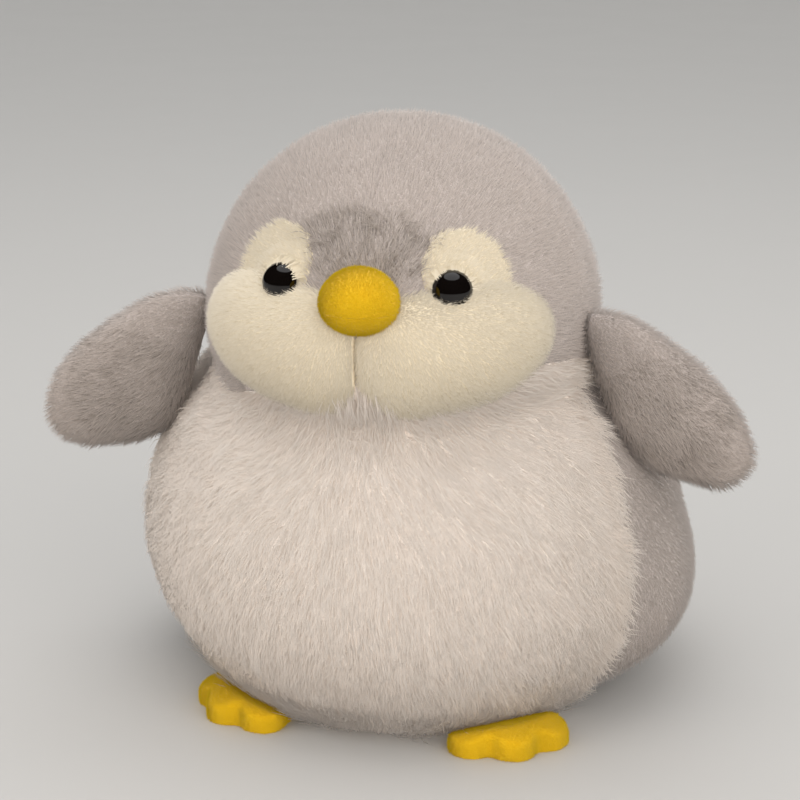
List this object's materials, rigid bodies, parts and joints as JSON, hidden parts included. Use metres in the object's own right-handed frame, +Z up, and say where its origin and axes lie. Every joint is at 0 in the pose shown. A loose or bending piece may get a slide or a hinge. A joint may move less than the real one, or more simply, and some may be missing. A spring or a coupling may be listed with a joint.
{
  "type": "plush penguin",
  "caption": "Round stuffed plush penguin sitting on a flat base, with a grey back and head, white belly, cream cheeks, stuffed yellow beak and feet, and wings that swing on sewn seams.",
  "frame": {"origin": "middle of the flat base that the toy sits on, under the middle of its round body", "axes": "+Z up from the base; the face looks along -Y; +X is the penguin's own left, along the line from wing tip to wing tip"},
  "size_m": [0.334, 0.263, 0.28],
  "materials": {
    "white_plush": "matte",
    "grey_plush": "matte",
    "cream_plush": "matte",
    "yellow_plush": "matte",
    "grey_underside": "matte",
    "black_eye": "gloss",
    "white_washer": "satin",
    "stuffing": "matte"
  },
  "bodies": {
    "body": {"back_panel_left": "grey_plush", "back_panel_right": "grey_plush", "base_panel": "grey_underside", "beak_lower": "yellow_plush", "beak_stuffing": "stuffing", "beak_upper": "yellow_plush", "belly_panel": "white_plush", "body_stuffing": "stuffing", "cheek_left": "cream_plush", "cheek_right": "cream_plush", "cheek_stuffing_left": "stuffing", "cheek_stuffing_right": "stuffing", "chin_panel": "white_plush", "eye_left": "black_eye", "eye_patch_left": "cream_plush", "eye_patch_right": "cream_plush", "eye_right": "black_eye", "eye_washer_left": "white_washer", "eye_washer_right": "white_washer", "head_back_left": "grey_plush", "head_back_right": "grey_plush", "head_front_left": "grey_plush", "head_front_right": "grey_plush", "head_stuffing": "stuffing"},
    "wing_left": {"wing_back_left": "grey_plush", "wing_front_left": "grey_plush", "wing_stuffing_left": "stuffing"},
    "wing_right": {"wing_back_right": "grey_plush", "wing_front_right": "grey_plush", "wing_stuffing_right": "stuffing"},
    "foot_left": {"foot_sole_left": "yellow_plush", "foot_stuffing_left": "stuffing", "foot_top_left": "yellow_plush"},
    "foot_right": {"foot_sole_right": "yellow_plush", "foot_stuffing_right": "stuffing", "foot_top_right": "yellow_plush"}
  },
  "joints": [
    {"name": "wing_left_swing", "type": "hinge", "parent": "body", "child": "wing_left", "pos_m": [0.10131, -0.0457, 0.16577], "axis": [-0.3298, -0.1465, 0.9326], "range_deg": [-50, 50], "stiffness_Nm_per_rad": 0.03},
    {"name": "wing_right_swing", "type": "hinge", "parent": "body", "child": "wing_right", "pos_m": [-0.10131, -0.0457, 0.16577], "axis": [-0.3298, 0.1465, -0.9326], "range_deg": [-50, 50], "stiffness_Nm_per_rad": 0.03},
    {"name": "foot_left_flex", "type": "hinge", "parent": "body", "child": "foot_left", "pos_m": [0.05384, -0.07145, 0], "axis": [-0.9063, -0.4226, 0], "range_deg": [0, 10], "stiffness_Nm_per_rad": 0.01},
    {"name": "foot_right_flex", "type": "hinge", "parent": "body", "child": "foot_right", "pos_m": [-0.0587, -0.06752, 0], "axis": [-0.8746, 0.4848, 0], "range_deg": [0, 10], "stiffness_Nm_per_rad": 0.01}
  ]
}
